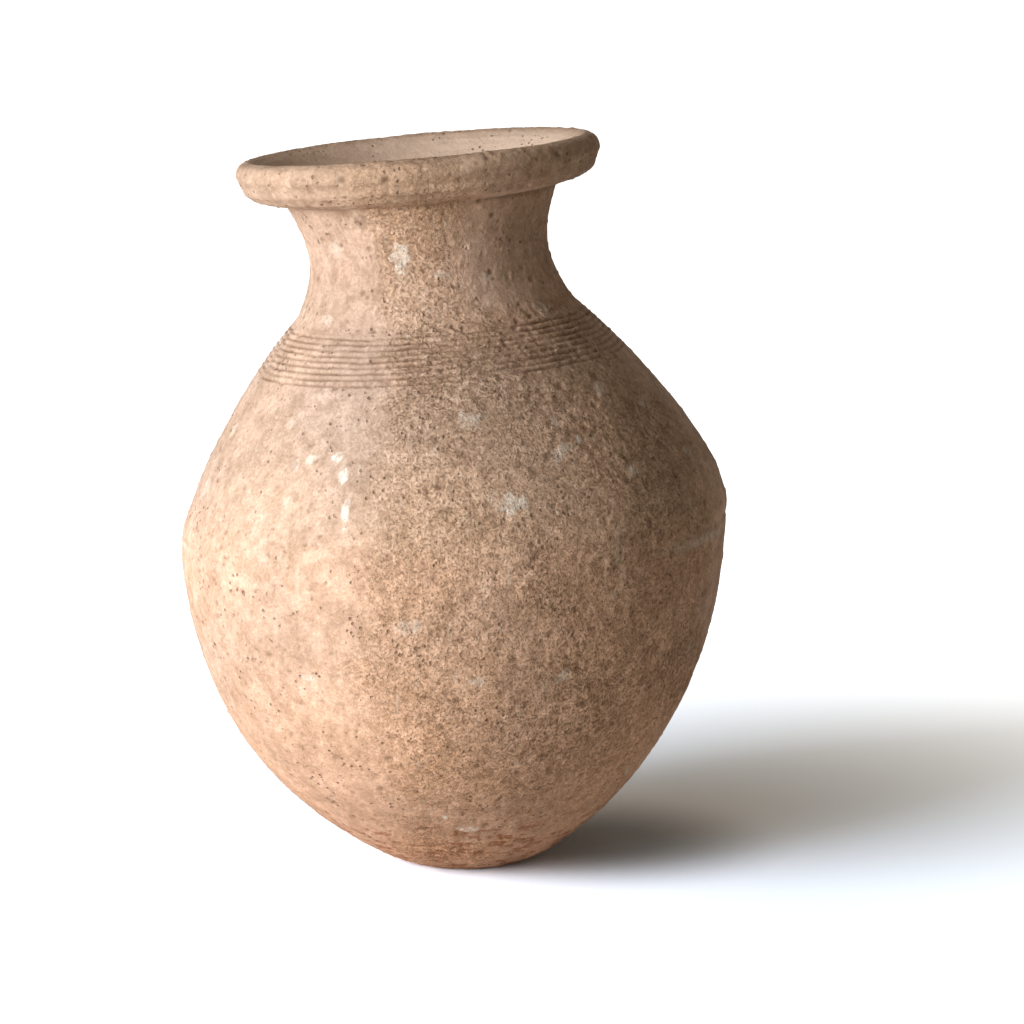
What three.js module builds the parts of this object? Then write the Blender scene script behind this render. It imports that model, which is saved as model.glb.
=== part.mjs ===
// A terracotta storage jar: small flat foot, egg-shaped lower body, leaning upper body with a
// band of combed lines, concave neck and a heavy everted rim.
// The potter built it in sections that were luted (joined wet with slip) one on another.
// Each section is a mesh of its own, and neighbours meet in a luted joint square to the wall.
// Millimetres, +Z up. The origin is the middle of the flat that the jar rests on.
// Seen from the front, along +Y, the jar leans to the left, towards -X.

import * as THREE from 'three';
import { mergeVertices } from 'three/addons/utils/BufferGeometryUtils.js';

// Driving sizes of the outside, from the foot up

const FOOT_RADIUS = 25;
const FOOT_EDGE_REACH = 8.7;
const FOOT_EDGE_RISE = 1.3;

const BELLY_RADIUS = 111.8;
const BELLY_HEIGHT = 142.4;
const LOWER_FULLNESS = 0.71;

const NECK_FOOT_RADIUS = 57.6;
const SHOULDER_RISE = 86.6;
const SHOULDER_ROUNDING = 20.5;
const SHOULDER_SLOPE = 44;
const SHOULDER_STRAIGHT = 30;

const WAIST_RADIUS = 48.5;
const WAIST_RISE = 23.4;
const NECK_FOOT_ROUNDING = 4;
const WAIST_LOWER_ROUNDING = 8;

const CREASE_RADIUS = 55;
const FLARE_RISE = 24.6;
const WAIST_UPPER_ROUNDING = 3.3;
const FLARE_SLOPE = 26;
const FLARE_STRAIGHT = 16;

// The rim, measured outwards and upwards from the crease under it

const RIM_UNDERSIDE = { out: 12.5, up: 3 };
const RIM_CORNER = { out: 15.7, up: 4.8 };
const RIM_LOWER_BEAD = { out: 16.7, up: 6.8 };
const RIM_GROOVE = { out: 16.8, up: 9.4 };
const RIM_UPPER_BEAD = { out: 19, up: 13 };
const RIM_SHOULDER = { out: 17.6, up: 16.9 };
const RIM_CREST = { out: 13.9, up: 18.6 };
const MOUTH_ROUNDING = 5;
const MOUTH_THROAT = 7;

// Walls and floor

const BODY_WALL = 9;
const NECK_WALL = 8;
const FLOOR_THICKNESS = 13;

// Luted joints between the sections

const LUTING_GAP = 0.35;
const BASE_JOINT_HEIGHT = 16;
const SEAM_NOTCH_DEPTH = 0.9;
const SEAM_NOTCH_REACH = 2.2;

// Combed band on the shoulder

const COMB_LINES = 9;
const COMB_PITCH = 2.7;
const COMB_DEPTH = 0.6;
const COMB_WIDTH = 1.5;
const COMB_TOP_MARGIN = 3.4;

// How the jar stands out of true: the belly sits left of the foot, and from the belly up
// the rings tilt and the axis leans to the left

const BELLY_DRIFT = 4.8;
const DRIFT_HEIGHT = 60;
const RING_TILT = 4.35;
const TILT_BELOW_BELLY = 22;
const TILT_ABOVE_BELLY = 20;
const AXIS_LEAN = 6.3;
const LEAN_SOFTNESS = 8;
const SHOULDER_SHIFT = 2.8;
const RIM_EXTRA_TILT = 0.65;

// Facets

const SEGMENTS = 48;
const CURVE_SAMPLES = 200;

const { degToRad, smoothstep, lerp } = THREE.MathUtils;

// Heights of the stations of the profile

const neckFootHeight = BELLY_HEIGHT + SHOULDER_RISE;
const waistHeight = neckFootHeight + WAIST_RISE;
const creaseHeight = waistHeight + FLARE_RISE;

const point = (radius, height) => new THREE.Vector2(radius, height);

function handle(radius, height, length, degreesFromLevel) {
  const angle = degToRad(degreesFromLevel);
  return point(radius + length * Math.cos(angle), height + length * Math.sin(angle));
}

// Outer profile from the edge of the foot to the crease under the rim, as a path of four
// curves that is walked by its true length

function outerProfile() {
  const path = new THREE.CurvePath();
  const foot = point(FOOT_RADIUS, 0);
  const belly = point(BELLY_RADIUS, BELLY_HEIGHT);
  const neckFoot = point(NECK_FOOT_RADIUS, neckFootHeight);
  const waist = point(WAIST_RADIUS, waistHeight);
  const crease = point(CREASE_RADIUS, creaseHeight);
  const lower = new THREE.CubicBezierCurve(
    foot,
    point(FOOT_RADIUS + FOOT_EDGE_REACH, FOOT_EDGE_RISE),
    point(BELLY_RADIUS, BELLY_HEIGHT * (1 - LOWER_FULLNESS)),
    belly,
  );
  const shoulder = new THREE.CubicBezierCurve(
    belly,
    point(BELLY_RADIUS, BELLY_HEIGHT + SHOULDER_ROUNDING),
    handle(NECK_FOOT_RADIUS, neckFootHeight, SHOULDER_STRAIGHT, -SHOULDER_SLOPE),
    neckFoot,
  );
  const neck = new THREE.CubicBezierCurve(
    neckFoot,
    handle(NECK_FOOT_RADIUS, neckFootHeight, NECK_FOOT_ROUNDING, 180 - SHOULDER_SLOPE),
    point(WAIST_RADIUS, waistHeight - WAIST_LOWER_ROUNDING),
    waist,
  );
  const flare = new THREE.CubicBezierCurve(
    waist,
    point(WAIST_RADIUS, waistHeight + WAIST_UPPER_ROUNDING),
    handle(CREASE_RADIUS, creaseHeight, FLARE_STRAIGHT, 270 - FLARE_SLOPE),
    crease,
  );
  for (const curve of [lower, shoulder, neck, flare]) {
    curve.arcLengthDivisions = CURVE_SAMPLES;
    path.add(curve);
  }
  return path;
}

const profile = outerProfile();
const curveEnds = profile.getCurveLengths();
const profileLength = profile.getLength();
const [bellyDistance, neckFootDistance, , creaseDistance] = curveEnds;

const outerAt = (distance) => profile.getPointAt(distance / profileLength);

function inwardAt(distance) {
  const along = profile.getTangentAt(distance / profileLength);
  return point(-along.y, along.x);
}

// The wall keeps its body thickness up to the foot of the neck, and thins to the neck's

function wallAt(distance) {
  const share = smoothstep(distance, bellyDistance, neckFootDistance);
  return lerp(BODY_WALL, NECK_WALL, share);
}

const innerAt = (distance) => outerAt(distance).addScaledVector(inwardAt(distance), wallAt(distance));

// Distance along the profile at which the outside reaches a height

function distanceAtHeight(height) {
  let low = 0;
  let high = profileLength;
  while (high - low > 1e-6) {
    const middle = (low + high) / 2;
    if (outerAt(middle).y < height) low = middle;
    else high = middle;
  }
  return low;
}

// Points between two distances, both ends included

function walk(from, to, steps, pointAt) {
  const points = [];
  for (let i = 0; i <= steps; i += 1) {
    points.push(pointAt(lerp(from, to, i / steps)));
  }
  return points;
}

// Joints, as distances along the outer profile. Each section stops half a gap short of them

const baseJoint = distanceAtHeight(BASE_JOINT_HEIGHT);
const seamJoint = bellyDistance;
const neckJoint = neckFootDistance;
const rimJoint = creaseDistance;
const halfGap = LUTING_GAP / 2;

// The jar's lean: how far the axis is off to the side at a height, and how far a ring tilts

function tiltShare(height) {
  return smoothstep(height, BELLY_HEIGHT - TILT_BELOW_BELLY, BELLY_HEIGHT + TILT_ABOVE_BELLY);
}

function tiltAt(height) {
  const rimShare = smoothstep(height, waistHeight, creaseHeight);
  return degToRad(RING_TILT * tiltShare(height) + RIM_EXTRA_TILT * rimShare);
}

function axisOffset(height) {
  const belowBelly = Math.min(height / DRIFT_HEIGHT, 1);
  const drift = BELLY_DRIFT * (1 - (1 - belowBelly) ** 2);
  const aboveBelly = (height - BELLY_HEIGHT) / LEAN_SOFTNESS;
  const leaning = LEAN_SOFTNESS * Math.log1p(Math.exp(aboveBelly));
  const shift = SHOULDER_SHIFT * tiltShare(height);
  return shift - drift - leaning * Math.tan(degToRad(AXIS_LEAN));
}

function leanOver(geometry) {
  const place = geometry.getAttribute('position');
  const footOffset = axisOffset(0);
  for (let i = 0; i < place.count; i += 1) {
    const x = place.getX(i);
    const height = place.getZ(i);
    const tilt = tiltAt(height);
    place.setX(i, axisOffset(height) - footOffset + x * Math.cos(tilt));
    place.setZ(i, height + x * Math.sin(tilt));
  }
}

// A section is its profile turned about the axis, then laid over the jar's lean.
// An open profile ends on the axis, and a ring's profile closes on itself

function turn(points) {
  const lathe = new THREE.LatheGeometry(points, SEGMENTS);
  lathe.rotateX(Math.PI / 2);
  lathe.deleteAttribute('normal');
  lathe.deleteAttribute('uv');
  const closed = mergeVertices(lathe);
  leanOver(closed);
  closed.computeVertexNormals();
  return closed;
}

const ring = (points) => turn([...points, points[0].clone()]);

// Foot: a thick pad with the flat that the jar rests on and a dished floor inside

function basePad() {
  const edge = baseJoint - halfGap;
  const innerEdge = innerAt(edge);
  const floorCurve = new THREE.QuadraticBezierCurve(
    innerEdge,
    point(innerEdge.x / 2, FLOOR_THICKNESS),
    point(0, FLOOR_THICKNESS),
  );
  const outside = walk(0, edge, 6, outerAt);
  return turn([point(0, 0), ...outside, ...floorCurve.getPoints(5)]);
}

// The shallow groove round the belly where the two halves of the body were luted

function notched(distance) {
  const reach = Math.abs(distance - seamJoint);
  const share = Math.max(0, 1 - reach / SEAM_NOTCH_REACH);
  return outerAt(distance).addScaledVector(inwardAt(distance), SEAM_NOTCH_DEPTH * share);
}

// Lower body: the egg-shaped wall from the foot to the belly seam

function lowerBody() {
  const from = baseJoint + halfGap;
  const to = seamJoint - halfGap;
  const outside = walk(from, seamJoint - SEAM_NOTCH_REACH, 11, outerAt);
  const inside = walk(to, from, 8, innerAt);
  return ring([...outside, notched(to), ...inside]);
}

// Shoulder: from the belly seam to the foot of the neck, with the combed lines near its top

function combLine(middle) {
  const half = COMB_WIDTH / 2;
  const bottom = outerAt(middle).addScaledVector(inwardAt(middle), COMB_DEPTH);
  return [outerAt(middle - half), bottom, outerAt(middle + half)];
}

function shoulder() {
  const from = seamJoint + halfGap;
  const to = neckJoint - halfGap;
  const topLine = neckJoint - COMB_TOP_MARGIN;
  const bottomLine = topLine - (COMB_LINES - 1) * COMB_PITCH;
  const plainTop = bottomLine - COMB_PITCH;
  const outside = walk(seamJoint + SEAM_NOTCH_REACH, plainTop, 8, outerAt);
  for (let i = 0; i < COMB_LINES; i += 1) {
    outside.push(...combLine(bottomLine + i * COMB_PITCH));
  }
  const inside = walk(to, from, 9, innerAt);
  return ring([notched(from), ...outside, outerAt(to), ...inside]);
}

// Neck: the concave tube from the shoulder to the crease under the rim

function neck() {
  const from = neckJoint + halfGap;
  const to = rimJoint - halfGap;
  return ring([...walk(from, to, 11, outerAt), ...walk(to, from, 9, innerAt)]);
}

// Rim: a heavy everted lip with a lower bead, a shallow groove and a fuller upper bead

function rim() {
  const along = profile.getTangentAt(1);
  const shift = along.clone().multiplyScalar(halfGap);
  const crease = outerAt(rimJoint).add(shift);
  const throat = innerAt(rimJoint).add(shift);
  const fromCrease = ({ out, up }) => point(CREASE_RADIUS + out, creaseHeight + up);
  const crest = fromCrease(RIM_CREST);
  const face = new THREE.SplineCurve(
    [RIM_UNDERSIDE, RIM_CORNER, RIM_LOWER_BEAD, RIM_GROOVE, RIM_UPPER_BEAD, RIM_SHOULDER, RIM_CREST]
      .map(fromCrease),
  );
  const mouth = new THREE.CubicBezierCurve(
    crest,
    point(crest.x - MOUTH_ROUNDING, crest.y),
    throat.clone().addScaledVector(along, MOUTH_THROAT),
    throat,
  );
  return ring([crease, ...face.getPoints(12), ...mouth.getPoints(7).slice(1)]);
}

// Fired clay: one body, warmer and redder low down, greyer and paler above the seam

const CLAY_LOW = '#c9926f';
const CLAY_HIGH = '#c4a284';
const CLAY_RIM = '#b99574';

function piece(name, geometry, color) {
  const clay = new THREE.MeshStandardMaterial({ color, roughness: 0.95, metalness: 0 });
  const mesh = new THREE.Mesh(geometry, clay);
  mesh.name = name;
  return mesh;
}

const jar = new THREE.Group();
jar.add(
  piece('base_pad', basePad(), CLAY_LOW),
  piece('lower_body', lowerBody(), CLAY_LOW),
  piece('shoulder', shoulder(), CLAY_HIGH),
  piece('neck', neck(), CLAY_HIGH),
  piece('rim', rim(), CLAY_RIM),
);

export default jar;
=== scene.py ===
import math

import bpy
import numpy as np
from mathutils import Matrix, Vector


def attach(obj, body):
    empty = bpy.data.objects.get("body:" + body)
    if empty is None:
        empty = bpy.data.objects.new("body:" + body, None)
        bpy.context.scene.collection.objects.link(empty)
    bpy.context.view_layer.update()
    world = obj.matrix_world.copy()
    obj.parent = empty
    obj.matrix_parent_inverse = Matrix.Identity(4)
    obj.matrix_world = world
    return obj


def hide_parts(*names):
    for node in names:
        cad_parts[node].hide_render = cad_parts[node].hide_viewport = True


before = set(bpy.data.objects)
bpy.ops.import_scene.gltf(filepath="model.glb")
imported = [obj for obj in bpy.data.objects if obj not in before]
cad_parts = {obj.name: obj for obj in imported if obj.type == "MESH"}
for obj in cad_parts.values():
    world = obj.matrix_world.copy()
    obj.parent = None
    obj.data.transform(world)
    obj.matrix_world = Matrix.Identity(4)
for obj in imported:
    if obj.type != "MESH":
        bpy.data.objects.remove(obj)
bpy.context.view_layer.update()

# The jar's surface is worked out in millimetres, as its profile was, and scaled when a mesh is made.
# Angles go round the jar in degrees: its right side is at 0, its left at 180 and its front at 270.
MM = 0.001
SEED = 265

# Outer profile, from the foot up: radius and height of its stations, and how its curves round
FOOT_RADIUS = 25.0
FOOT_EDGE_REACH = 8.7
FOOT_EDGE_RISE = 1.3
BELLY_RADIUS = 111.8
BELLY_HEIGHT = 142.4
LOWER_FULLNESS = 0.71
NECK_FOOT_RADIUS = 57.6
NECK_FOOT_HEIGHT = BELLY_HEIGHT + 86.6
SHOULDER_ROUNDING = 20.5
SHOULDER_SLOPE = 44.0
SHOULDER_STRAIGHT = 30.0
WAIST_RADIUS = 48.5
WAIST_HEIGHT = NECK_FOOT_HEIGHT + 23.4
NECK_FOOT_ROUNDING = 4.0
WAIST_LOWER_ROUNDING = 8.0
WAIST_UPPER_ROUNDING = 3.3
CREASE_RADIUS = 55.0
CREASE_HEIGHT = WAIST_HEIGHT + 24.6
FLARE_SLOPE = 26.0
FLARE_STRAIGHT = 16.0

# Rim face, as steps out and up from the crease: underside, corner, lower bead, groove, upper
# bead, shoulder and crest
RIM_FACE = (
    (12.5, 3.0),
    (15.7, 4.8),
    (16.7, 6.8),
    (16.8, 9.4),
    (19.0, 13.0),
    (17.6, 16.9),
    (13.9, 18.6),
)
MOUTH_ROUNDING = 5.0
MOUTH_THROAT = 7.0

# Walls, floor and the height of the lowest joint
BODY_WALL = 9.0
NECK_WALL = 8.0
FLOOR_THICKNESS = 13.0
BASE_JOINT_HEIGHT = 16.0

# How the jar stands out of true
BELLY_DRIFT = 4.8
DRIFT_HEIGHT = 60.0
RING_TILT = 4.35
TILT_BELOW_BELLY = 22.0
TILT_ABOVE_BELLY = 20.0
AXIS_LEAN = 6.3
LEAN_SOFTNESS = 8.0
SHOULDER_SHIFT = 2.8
RIM_EXTRA_TILT = 0.65

# Combed band
COMB_LINES = 9
COMB_PITCH = 2.7
COMB_DEPTH = 0.62
COMB_HALF_WIDTH = 0.58
COMB_TOP_MARGIN = 3.4

# Fineness of the meshes: columns round the outside and the inside, millimetres between rows, and
# the angle in degrees from which an edge is drawn sharp
COLUMNS = 640
INNER_COLUMNS = 160
ROWS_DISC = 2.4
ROWS_BASE = 0.8
ROWS_BODY = 1.15
ROWS_SHOULDER = 1.05
ROWS_COMB = 0.45
ROWS_NECK = 0.62
ROWS_RIM = 0.5
ROWS_INSIDE = 2.6
SHARP_FROM = 65.0


def smoothstep(value, low, high):
    share = np.clip((np.asarray(value, float) - low) / (high - low), 0, 1)
    return share * share * (3 - 2 * share)


# Curves of the profile


def bezier(a, b, c, d, count=160):
    t = np.linspace(0, 1, count + 1)[:, None]
    a, b, c, d = (np.array(p, float) for p in (a, b, c, d))
    return a * (1 - t) ** 3 + 3 * b * t * (1 - t) ** 2 + 3 * c * t * t * (1 - t) + d * t**3


def spline(points, count=24):
    """A smooth curve through the points, with each tangent along the line between the two beside it."""
    points = np.array(points, float)
    last = len(points) - 1
    stretches = []
    for i in range(last):
        before, a = points[max(i - 1, 0)], points[i]
        b, after = points[i + 1], points[min(i + 2, last)]
        stretches.append(bezier(a, a + (b - before) / 6, b - (after - a) / 6, b, count))
    return np.vstack(stretches)


def handle(radius, height, length, degrees_from_level):
    angle = math.radians(degrees_from_level)
    return radius + length * math.cos(angle), height + length * math.sin(angle)


def walked(points):
    """The points without doubles, and the distance walked to each."""
    step = np.hypot(*np.diff(points, axis=0).T)
    kept = np.concatenate(([True], step > 1e-9))
    points = points[kept]
    step = np.hypot(*np.diff(points, axis=0).T)
    return points, np.concatenate(([0], np.cumsum(step)))


def body_profile():
    """The outside from the foot's edge to the crease, and where belly, neck foot and crease are."""
    foot = (FOOT_RADIUS, 0)
    belly = (BELLY_RADIUS, BELLY_HEIGHT)
    neck_foot = (NECK_FOOT_RADIUS, NECK_FOOT_HEIGHT)
    waist = (WAIST_RADIUS, WAIST_HEIGHT)
    crease = (CREASE_RADIUS, CREASE_HEIGHT)
    foot_edge = (FOOT_RADIUS + FOOT_EDGE_REACH, FOOT_EDGE_RISE)
    curves = (
        bezier(foot, foot_edge, (BELLY_RADIUS, BELLY_HEIGHT * (1 - LOWER_FULLNESS)), belly),
        bezier(
            belly,
            (BELLY_RADIUS, BELLY_HEIGHT + SHOULDER_ROUNDING),
            handle(*neck_foot, SHOULDER_STRAIGHT, -SHOULDER_SLOPE),
            neck_foot,
        ),
        bezier(
            neck_foot,
            handle(*neck_foot, NECK_FOOT_ROUNDING, 180 - SHOULDER_SLOPE),
            (WAIST_RADIUS, WAIST_HEIGHT - WAIST_LOWER_ROUNDING),
            waist,
        ),
        bezier(
            waist,
            (WAIST_RADIUS, WAIST_HEIGHT + WAIST_UPPER_ROUNDING),
            handle(*crease, FLARE_STRAIGHT, 270 - FLARE_SLOPE),
            crease,
        ),
    )
    points, distance = walked(np.vstack(curves))
    lengths = [walked(curve)[1][-1] for curve in curves]
    belly_at, neck_at, _, crease_at = np.cumsum(lengths)
    return points, distance, belly_at, neck_at, crease_at


PROFILE, PROFILE_AT, BELLY_AT, NECK_AT, CREASE_AT = body_profile()
BASE_AT = float(np.interp(BASE_JOINT_HEIGHT, PROFILE[:, 1], PROFILE_AT))


def outer_at(distance):
    return np.stack([np.interp(distance, PROFILE_AT, PROFILE[:, i]) for i in (0, 1)], -1)


def outward(points, distance):
    """Unit normals of a line of points, pointing to the right of the way that it runs."""
    along = np.gradient(points, distance, axis=0)
    along /= np.hypot(along[:, 0], along[:, 1])[:, None]
    return np.stack([along[:, 1], -along[:, 0]], -1)


PROFILE_OUT = outward(PROFILE, PROFILE_AT)


def inner_at(distance):
    share = smoothstep(distance, BELLY_AT, NECK_AT)
    wall = BODY_WALL + (NECK_WALL - BODY_WALL) * share
    out = np.stack([np.interp(distance, PROFILE_AT, PROFILE_OUT[:, i]) for i in (0, 1)], -1)
    return outer_at(distance) - out * wall[..., None]


def whole_outside():
    """The outside line from the foot's middle to the throat. Distance is nought at the foot's edge."""
    crease = np.array([CREASE_RADIUS, CREASE_HEIGHT])
    throat = inner_at(np.array([CREASE_AT]))[0]
    along = np.array([-PROFILE_OUT[-1][1], PROFILE_OUT[-1][0]])
    face = spline(crease + np.array(RIM_FACE))
    crest = face[-1]
    mouth = bezier(crest, crest - (MOUTH_ROUNDING, 0), throat + along * MOUTH_THROAT, throat)
    points, distance = walked(np.vstack([[(0, 0)], PROFILE, face, mouth]))
    return points, distance - FOOT_RADIUS


LINE, LINE_AT = whole_outside()
THROAT_AT = LINE_AT[-1]
CREST_AT = float(LINE_AT[np.argmax(LINE[:, 1])])
COMB_FROM = NECK_AT - COMB_TOP_MARGIN - COMB_LINES * COMB_PITCH


# The lean, as it bends the rings of the jar


def tilt_share(height):
    return smoothstep(height, BELLY_HEIGHT - TILT_BELOW_BELLY, BELLY_HEIGHT + TILT_ABOVE_BELLY)


def axis_offset(height):
    below = np.minimum(height / DRIFT_HEIGHT, 1)
    drift = BELLY_DRIFT * (1 - (1 - below) ** 2)
    leaning = LEAN_SOFTNESS * np.log1p(np.exp((height - BELLY_HEIGHT) / LEAN_SOFTNESS))
    return SHOULDER_SHIFT * tilt_share(height) - drift - leaning * math.tan(math.radians(AXIS_LEAN))


def lean_over(points):
    x, height = points[..., 0], points[..., 2]
    rim_share = smoothstep(height, WAIST_HEIGHT, CREASE_HEIGHT)
    tilt = np.radians(RING_TILT * tilt_share(height) + RIM_EXTRA_TILT * rim_share)
    foot = axis_offset(np.zeros(1))[0]
    across = axis_offset(height) - foot + x * np.cos(tilt)
    return np.stack([across, points[..., 1], height + x * np.sin(tilt)], -1)


# Random bumps. Each use of the noise has a seed of its own.

CELL_PRIMES = (73856093, 19349663, 83492791)
SEED_PRIME = 9176
FIRST_MIXER = 1274126177
SECOND_MIXER = 2246822519
LOW_BITS = 0xFFFFFFFF
SLOPE_BITS = 10
SLOPE_MOST = 2**SLOPE_BITS - 1
SEED_STEP = 31.7
NOISE_GAIN = 1.7


def noise(points, size, seed):
    """Smooth random bumps about size millimetres across, mostly between -1 and 1."""
    place = points / np.asarray(size, float) + seed * SEED_STEP
    cell = np.floor(place).astype(np.int64)
    part = place - cell
    ease = part**3 * (part * (part * 6 - 15) + 10)
    total = np.zeros(points.shape[:-1])
    for corner in np.ndindex(2, 2, 2):
        x, y, z = ((cell[..., axis] + corner[axis]) * CELL_PRIMES[axis] for axis in range(3))
        mixed = x ^ y ^ z ^ seed * SEED_PRIME
        mixed = ((mixed & LOW_BITS) * FIRST_MIXER) & LOW_BITS
        mixed = ((mixed ^ (mixed >> 15)) * SECOND_MIXER) & LOW_BITS
        mixed ^= mixed >> 13
        weight = np.ones(points.shape[:-1])
        slope = np.zeros(points.shape[:-1])
        for axis, side in enumerate(corner):
            weight *= ease[..., axis] if side else 1 - ease[..., axis]
            pull = ((mixed >> (axis * SLOPE_BITS)) & SLOPE_MOST) / (SLOPE_MOST / 2) - 1
            slope += pull * (part[..., axis] - side)
        total += weight * slope
    return total * NOISE_GAIN


def layered(points, size, seed, layers=3):
    total = sum(noise(points, size / 2**i, seed + i) / 2**i for i in range(layers))
    return total / (2 - 0.5 ** (layers - 1))


# The outside as a grid: rows along the line, columns round the jar


def steps_between(start, end, spacing):
    count = max(1, round((end - start) / spacing))
    return np.linspace(start, end, count + 1)[1:]


def row_distances():
    stretches = (
        (-FOOT_RADIUS, 0, ROWS_DISC),
        (0, BASE_AT, ROWS_BASE),
        (BASE_AT, BELLY_AT, ROWS_BODY),
        (BELLY_AT, COMB_FROM, ROWS_SHOULDER),
        (COMB_FROM, NECK_AT, ROWS_COMB),
        (NECK_AT, CREASE_AT, ROWS_NECK),
        (CREASE_AT, THROAT_AT, ROWS_RIM),
    )
    return np.concatenate([steps_between(*stretch) for stretch in stretches])


ROW_AT = row_distances()
ROW_RADIUS = np.interp(ROW_AT, LINE_AT, LINE[:, 0])
ROW_HEIGHT = np.interp(ROW_AT, LINE_AT, LINE[:, 1])
LINE_OUT = outward(LINE, LINE_AT)
ROW_OUT = np.stack([np.interp(ROW_AT, LINE_AT, LINE_OUT[:, i]) for i in (0, 1)], -1)
ROW_OUT /= np.hypot(ROW_OUT[:, 0], ROW_OUT[:, 1])[:, None]
ANGLES = np.arange(COLUMNS) * 2 * math.pi / COLUMNS
DEGREES = np.degrees(ANGLES)[None, :]
AT = ROW_AT[:, None]
HEIGHT = ROW_HEIGHT[:, None]


def turned(radius, height, angles):
    ring = radius[:, None]
    tall = np.broadcast_to(height[:, None], (len(height), len(angles)))
    return np.stack([ring * np.cos(angles), ring * np.sin(angles), tall], -1)


PLACES = turned(ROW_RADIUS, ROW_HEIGHT, ANGLES)
GIRTH = PLACES.copy()
GIRTH[..., 2] = AT
lift = np.zeros(PLACES.shape[:2])
marks = {name: np.zeros_like(lift) for name in ("dark", "lime", "scuff", "rough", "soil_and_painted_shade", "cream_and_painted_light")}


def near(degrees, width):
    """1 at that angle round the jar, falling smoothly to nought at width degrees from it."""
    away = np.abs((DEGREES - degrees + 180) % 360 - 180)
    return 1 - smoothstep(away, 0, width)


def arc(rising, falling):
    """1 on an arc round the jar. Each end is given as the two angles between which it eases."""
    return smoothstep(DEGREES, *rising) * (1 - smoothstep(DEGREES, *falling))


def band(at, width):
    """1 on a line round the jar, falling to a third at width from it."""
    return np.exp(-(((AT - at) / width) ** 2))


def above(at, start, end):
    """0 below a line round the jar and 1 above it, easing from start to end past the line."""
    return smoothstep(AT, at + start, at + end)


def raised_to(least, share):
    """The share with its nought raised to least and its one kept."""
    return least + (1 - least) * share


def between(limits, share):
    return limits[0] + (limits[1] - limits[0]) * share


def around(plain, more, degrees, width):
    """An amount that is plain round the jar, with more of it near an angle."""
    return plain + more * near(degrees, width)


def bumps(points, *layers):
    """The sum of several noises, each given by its height, size and seed."""
    return sum(height * noise(points, size, seed) for height, size, seed in layers)


def spots(kind, points, size, seed, low, high):
    """1 where a noise of that kind is over high, and nought where it is under low."""
    return smoothstep(kind(points, size, seed), low, high)


def distance_at_height(height):
    body = LINE_AT <= CREST_AT
    return float(np.interp(height, LINE[body, 1], LINE_AT[body]))


# 0 on the flat that the jar stands on, and 1 outside it
OFF_FLAT = above(0, -1.5, 2.5)

# Grit and crust: the arcs that they cover on body and neck, and how much of them is found
# everywhere, in front, in patches, at the foot, on the rim and in the mouth
BODY_GRIT = ((240, 266), (325, 356))
NECK_GRIT = ((240, 254), (278, 298))
NECK_GRIT_EASE = (0, 12)
GRIT_EVERYWHERE = 0.08
GRIT_IN_FRONT = 0.8
FRONT_EVENNESS = 0.6
GRIT_IN_PATCHES = 0.5
GRIT_PATCHES = (60, 11, -0.05, 0.4)
CLEAN_SIDE = (205, 70)
GRIT_AT_FOOT = 0.35
FOOT_GRIT_EASE = (18, 60)
LESS_GRIT_ON_RIM = 0.4
RIM_GRIT_EASE = (4, 10)
LESS_GRIT_IN_MOUTH = 0.7
MOUTH_GRIT_EASE = (-2, 5)


def rough_places():
    """Where grit and crust cover the clay: the middle of the front and patches elsewhere."""
    on_neck = above(NECK_AT, *NECK_GRIT_EASE)
    front = arc(*BODY_GRIT) * (1 - on_neck) + arc(*NECK_GRIT) * on_neck
    front = front * raised_to(GRIT_AT_FOOT, smoothstep(HEIGHT, *FOOT_GRIT_EASE))
    patches = spots(layered, PLACES, *GRIT_PATCHES) * (1 - near(*CLEAN_SIDE))
    share = GRIT_EVERYWHERE + GRIT_IN_FRONT * front * raised_to(FRONT_EVENNESS, patches)
    share += GRIT_IN_PATCHES * patches * (1 - front)
    on_rim = LESS_GRIT_ON_RIM * above(CREASE_AT, *RIM_GRIT_EASE)
    in_mouth = LESS_GRIT_IN_MOUTH * above(CREST_AT, *MOUTH_GRIT_EASE)
    return np.clip(share, 0, 1) * (1 - on_rim) * (1 - in_mouth)


# Shaping by hand: lumps, strokes round the jar, and how much calmer the rim is than the body
LUMPS = ((0.55, 75, 1), (0.26, 27, 2), (0.13, 11, 3))
STROKES = ((0.1, (46, 46, 2.8), 5), (0.07, (70, 70, 5.5), 6))
STROKES_LOST_IN_GRIT = 0.6
RIM_CALM = 0.55
RIM_CALM_EASE = (-4, 4)


def add_hand_shaping():
    calm = 1 - RIM_CALM * above(CREASE_AT, *RIM_CALM_EASE)
    strokes = bumps(GIRTH, *STROKES) * (1 - STROKES_LOST_IN_GRIT * marks["rough"])
    lift[:] += (bumps(PLACES, *LUMPS) * calm + strokes) * OFF_FLAT


# Crust: coarse and fine grains, and large and small chips between them, with their depth and dirt
COARSE_GRAINS = (0.42, 4.4, 7)
FINE_GRAINS = (0.26, 2.6, 8)
CHIPS = (6.3, 9, 0.3, 0.42)
CHIP_DEPTH = 0.24
CHIP_DIRT = 0.16
CHIPS_ON_PLAIN_CLAY = 0.35
SMALL_CHIPS = (3.4, 10, 0.36, 0.46)
SMALL_CHIP_DEPTH = 0.2
SMALL_CHIP_DIRT = 0.2


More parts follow.
